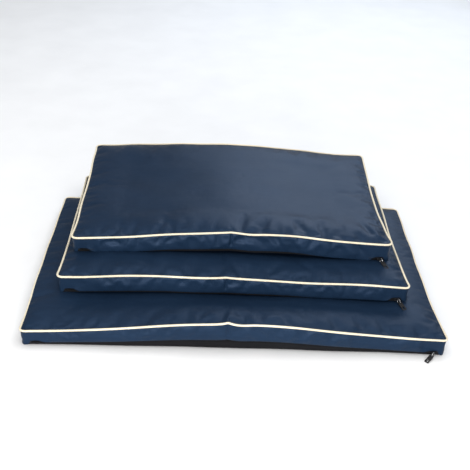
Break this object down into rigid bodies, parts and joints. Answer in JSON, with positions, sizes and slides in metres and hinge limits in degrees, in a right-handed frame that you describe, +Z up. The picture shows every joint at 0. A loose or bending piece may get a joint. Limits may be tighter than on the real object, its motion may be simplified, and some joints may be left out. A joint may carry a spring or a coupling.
{
  "type": "pet cushion bed",
  "caption": "Stack of flat boxed pet cushions in graded sizes, with piped top seams, black non-slip undersides and a zip along each front.",
  "frame": {"origin": "centre of the large cushion's underside", "axes": "+Z up; the zipped front faces -Y; +X runs to the right along the front, seen from the front"},
  "size_m": [1.005, 0.7866, 0.169],
  "materials": {
    "cover_navy": "coated woven polyester, satin sheen",
    "base_black": "non-slip coated woven polyester, dull",
    "piping_cream": "plain woven bias tape, matt",
    "cord_white": "twisted cotton cord, matt",
    "zip_tape_black": "woven zip tape, matt",
    "zip_coil_black": "nylon coil",
    "zip_stop_black": "enamelled clip",
    "slider_black": "black enamel, semi-gloss",
    "ring_steel": "wire, satin",
    "tab_black": "black enamel, semi-gloss",
    "liner_white": "non-woven, matt",
    "foam_pale": "open-cell foam, matt"
  },
  "bodies": {
    "large_cushion": {"large_top_panel": "cover_navy", "large_boxing_band_left": "cover_navy", "large_boxing_band_right": "cover_navy", "large_bottom_panel": "base_black", "large_piping_tape": "piping_cream", "large_piping_cord": "cord_white", "large_zip_tape_upper": "zip_tape_black", "large_zip_tape_lower": "zip_tape_black", "large_zip_coil_upper": "zip_coil_black", "large_zip_coil_lower": "zip_coil_black", "large_zip_top_stops": "zip_stop_black", "large_zip_bottom_stop": "zip_stop_black", "large_inner_liner": "liner_white", "large_foam_core": "foam_pale"},
    "large_zip_slider": {"large_zip_slider": "slider_black"},
    "large_zip_pull_ring": {"large_zip_pull_ring": "ring_steel"},
    "large_zip_pull_tab": {"large_zip_pull_tab": "tab_black"},
    "middle_cushion": {"middle_top_panel": "cover_navy", "middle_boxing_band_left": "cover_navy", "middle_boxing_band_right": "cover_navy", "middle_bottom_panel": "base_black", "middle_piping_tape": "piping_cream", "middle_piping_cord": "cord_white", "middle_zip_tape_upper": "zip_tape_black", "middle_zip_tape_lower": "zip_tape_black", "middle_zip_coil_upper": "zip_coil_black", "middle_zip_coil_lower": "zip_coil_black", "middle_zip_top_stops": "zip_stop_black", "middle_zip_bottom_stop": "zip_stop_black", "middle_inner_liner": "liner_white", "middle_foam_core": "foam_pale"},
    "middle_zip_slider": {"middle_zip_slider": "slider_black"},
    "middle_zip_pull_ring": {"middle_zip_pull_ring": "ring_steel"},
    "middle_zip_pull_tab": {"middle_zip_pull_tab": "tab_black"},
    "small_cushion": {"small_top_panel": "cover_navy", "small_boxing_band_left": "cover_navy", "small_boxing_band_right": "cover_navy", "small_bottom_panel": "base_black", "small_piping_tape": "piping_cream", "small_piping_cord": "cord_white", "small_zip_tape_upper": "zip_tape_black", "small_zip_tape_lower": "zip_tape_black", "small_zip_coil_upper": "zip_coil_black", "small_zip_coil_lower": "zip_coil_black", "small_zip_top_stops": "zip_stop_black", "small_zip_bottom_stop": "zip_stop_black", "small_inner_liner": "liner_white", "small_foam_core": "foam_pale"},
    "small_zip_slider": {"small_zip_slider": "slider_black"},
    "small_zip_pull_ring": {"small_zip_pull_ring": "ring_steel"},
    "small_zip_pull_tab": {"small_zip_pull_tab": "tab_black"}
  },
  "joints": [
    {"name": "large_zip_travel", "type": "slide", "parent": "large_cushion", "child": "large_zip_slider", "axis": [-1, 0, 0], "range_m": [0, 0.9474]},
    {"name": "large_ring_swing", "type": "hinge", "parent": "large_zip_slider", "child": "large_zip_pull_ring", "pos_m": [0.4737, -0.3164, 0.009], "axis": [0, 0, -1], "range_deg": [-90, 0]},
    {"name": "large_tab_lift", "type": "hinge", "parent": "large_zip_pull_ring", "child": "large_zip_pull_tab", "pos_m": [0.46981, -0.32029, 0.009], "axis": [-0.7071, 0.7071, 0], "range_deg": [0, 105]},
    {"name": "middle_lift", "type": "slide", "parent": "large_cushion", "child": "middle_cushion", "axis": [0, 0, 1], "range_m": [0, 0.3]},
    {"name": "middle_zip_travel", "type": "slide", "parent": "middle_cushion", "child": "middle_zip_slider", "axis": [-1, 0, 0], "range_m": [0, 0.8154]},
    {"name": "middle_ring_swing", "type": "hinge", "parent": "middle_zip_slider", "child": "middle_zip_pull_ring", "pos_m": [0.4027, -0.1774, 0.0621], "axis": [0, 0, -1], "range_deg": [-20, 70]},
    {"name": "middle_tab_lift", "type": "hinge", "parent": "middle_zip_pull_ring", "child": "middle_zip_pull_tab", "pos_m": [0.40502, -0.18238, 0.0621], "axis": [-0.9063, -0.4226, 0], "range_deg": [0, 105]},
    {"name": "small_lift", "type": "slide", "parent": "middle_cushion", "child": "small_cushion", "axis": [0, 0, 1], "range_m": [0, 0.3]},
    {"name": "small_zip_travel", "type": "slide", "parent": "small_cushion", "child": "small_zip_slider", "axis": [-1, 0, 0], "range_m": [0, 0.7594]},
    {"name": "small_ring_swing", "type": "hinge", "parent": "small_zip_slider", "child": "small_zip_pull_ring", "pos_m": [0.3687, -0.0764, 0.1152], "axis": [0, 0, -1], "range_deg": [-20, 70]},
    {"name": "small_tab_lift", "type": "hinge", "parent": "small_zip_pull_ring", "child": "small_zip_pull_tab", "pos_m": [0.37102, -0.08138, 0.1152], "axis": [-0.9063, -0.4226, 0], "range_deg": [0, 105]}
  ]
}
